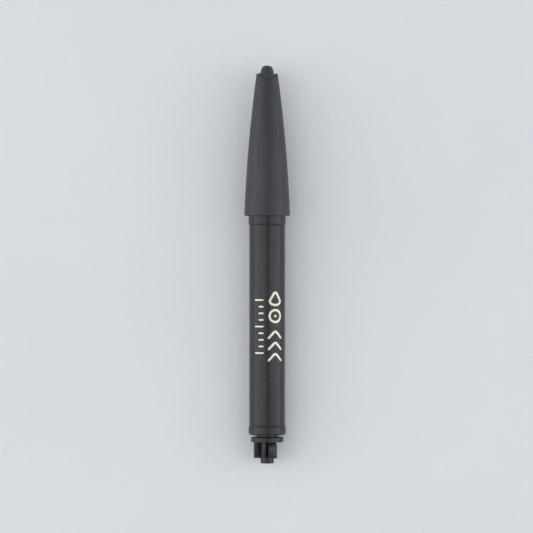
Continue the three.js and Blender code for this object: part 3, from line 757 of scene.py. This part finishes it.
def tail_coupling():
    groove = BARREL_REAR + 1.2
    groove_rear, groove_front = groove - GROOVE_WIDTH / 2, groove + GROOVE_WIDTH / 2
    bore_rear = COUPLING_FRONT - 0.7
    corners = [
        (0.0, TAIL, 0), (TAIL_PIN_R, TAIL, 0.2), (TAIL_PIN_R, SPLINE_REAR, 0.1),
        (SPLINE_CORE_R, SPLINE_REAR, 0.15), (SPLINE_CORE_R, SPLINE_FRONT, 0.12),
        (COUPLING_R, SPLINE_FRONT, 0.22), (COUPLING_R, COUPLING_FRONT, 0.2),
        (SHAFT_R, COUPLING_FRONT, 0.1), (SHAFT_R, groove_rear, 0), (GROOVE_R, groove_rear, 0),
        (GROOVE_R, groove_front, 0), (SHAFT_R, groove_front, 0), (SHAFT_R, SHAFT_FRONT, 0.1),
        (SHAFT_BORE_R, SHAFT_FRONT, 0.1), (SHAFT_BORE_R, bore_rear, 0.1), (0.0, bore_rear, 0),
    ]
    core = revolve("tail_coupling_moulded", rounded(corners, closed=False), FINE_COLUMNS)
    ribs = [rib(RIB_WIDTH, turn) for turn in RIB_TURNS] + [rib(KEY_WIDTH, KEY_TURN, KEY_SHOULDER)]
    piece = union(core, ribs)
    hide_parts("tail_coupling")
    return piece


# ---- assembly ------------------------------------------------------------------------------------
def put(piece, body, material):
    piece.data.materials.clear()
    piece.data.materials.append(material)
    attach(piece, body)


def dress_carried_nodes(finishes):
    """Gives each CAD node that is shown as it is a material with some life in it."""
    for node, material in finishes.items():
        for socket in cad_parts[node].material_slots:
            socket.material = material


def build_cartridge():
    cap_black = moulded_plastic("cap_plastic", value=0.034, roughness=0.42, grain=1.6e-6)
    barrel_black = moulded_plastic("barrel_plastic", value=0.012, roughness=0.3, grain=1.0e-6)
    mechanism = moulded_plastic("mechanism_plastic", value=0.03, roughness=0.5, grain=2e-6)
    natural, black_rubber, drawn = white_plastic(), rubber(), steel()
    put(cap_shell(), "cap", cap_black)
    put(inner_cap(), "cap", cap_black)
    put(front_section(), "body", barrel_black)
    put(barrel(), "body", barrel_black)
    put(stamped_marks(), "body", foil())
    put(brush_nib(), "body", bristle())
    put(tail_ring(), "body", barrel_black)
    put(tail_coupling(), "tail", barrel_black)
    finishes = dict.fromkeys(("cap_seal", "front_o_ring", "piston_o_ring", "tail_o_ring"), black_rubber)
    unpigmented = "pipe_joint", "nib_ferrule", "piston", "thread_nut", "click_ring"
    finishes |= dict.fromkeys(unpigmented, natural)
    finishes |= dict.fromkeys(("feed_pipe", "clutch_spring"), drawn)
    finishes |= dict.fromkeys(("screw_rod", "drive_tube"), mechanism)
    dress_carried_nodes(finishes)


# ---- studio --------------------------------------------------------------------------------------
FLOOR_HALF = 1.5                     # in metres
FLOOR_CELLS = 24


def studio_floor():
    """A wide sheet of paper, tipped so that the level cartridge rests on its cap and its tail ring."""
    cap_touch = (MOUTH + 0.2) * MM, AXIS_Z - CAP_R * MM
    tail_touch = (RING_REAR + 0.6) * MM, AXIS_Z - TAIL_RING_R * MM
    slope = (tail_touch[1] - cap_touch[1]) / (tail_touch[0] - cap_touch[0])
    bm = bmesh.new()
    lines = [FLOOR_HALF * (2 * i / FLOOR_CELLS - 1) for i in range(FLOOR_CELLS + 1)]
    grid = [[bm.verts.new((x, y, 0)) for x in lines] for y in lines]
    for low, high in zip(grid, grid[1:]):
        for k in range(FLOOR_CELLS):
            bm.faces.new((low[k], low[k + 1], high[k + 1], high[k]))
    for vert in bm.verts:
        vert.co.z = cap_touch[1] + slope * (vert.co.y - cap_touch[0])
    floor = finish_mesh(bm, "studio_floor")
    floor.data.materials.append(floor_paper())


def softbox(name, place, target, size, power):
    light = bpy.data.lights.new(name, "AREA")
    light.shape = "RECTANGLE"
    light.size, light.size_y = size
    light.energy = power
    obj = bpy.data.objects.new(name, light)
    obj.location = place
    obj.rotation_mode = "QUATERNION"
    obj.rotation_quaternion = (Vector(target) - Vector(place)).to_track_quat("-Z", "Y")
    bpy.context.scene.collection.objects.link(obj)


def lights():
    """Long low softboxes on either side, and a sky that darkens overhead, leave the barrel's top dark."""
    middle = (0, 0, AXIS_Z)
    softbox("left_box", (-0.62, 0, 0.30), middle, size=(0.55, 2.2), power=4.2)
    softbox("right_box", (0.66, 0, 0.22), middle, size=(0.42, 2.2), power=3.3)
    world = bpy.data.worlds.new("studio")
    world.use_nodes = True
    tree = world.node_tree
    heading = tree.nodes.new("ShaderNodeTexCoord")
    split = tree.nodes.new("ShaderNodeSeparateXYZ")
    ramp = tree.nodes.new("ShaderNodeValToRGB")
    ramp.color_ramp.interpolation = "EASE"
    ramp.color_ramp.elements[0].color = (0.8, 0.82, 0.86, 1)
    ramp.color_ramp.elements[1].color = (0.36, 0.38, 0.41, 1)
    ramp.color_ramp.elements[1].position = 0.85
    tree.links.new(heading.outputs["Generated"], split.inputs[0])
    tree.links.new(split.outputs["Z"], ramp.inputs[0])
    tree.links.new(ramp.outputs[0], tree.nodes["Background"].inputs["Color"])
    bpy.context.scene.world = world
    bpy.context.scene.view_settings.view_transform = "Standard"


FRAME_HEIGHT = 0.1173                # of the view at the cartridge's axis, in metres
CAMERA_HEIGHT = 0.6
VIEW_CENTRE = (-0.00015, -0.00046)


def camera():
    data = bpy.data.cameras.new("camera")
    data.sensor_width = 36
    data.lens = data.sensor_width * CAMERA_HEIGHT / FRAME_HEIGHT
    obj = bpy.data.objects.new("camera", data)
    obj.location = (VIEW_CENTRE[0], VIEW_CENTRE[1], AXIS_Z + CAMERA_HEIGHT)
    bpy.context.scene.collection.objects.link(obj)
    bpy.context.scene.camera = obj


camera()
build_cartridge()
studio_floor()
lights()
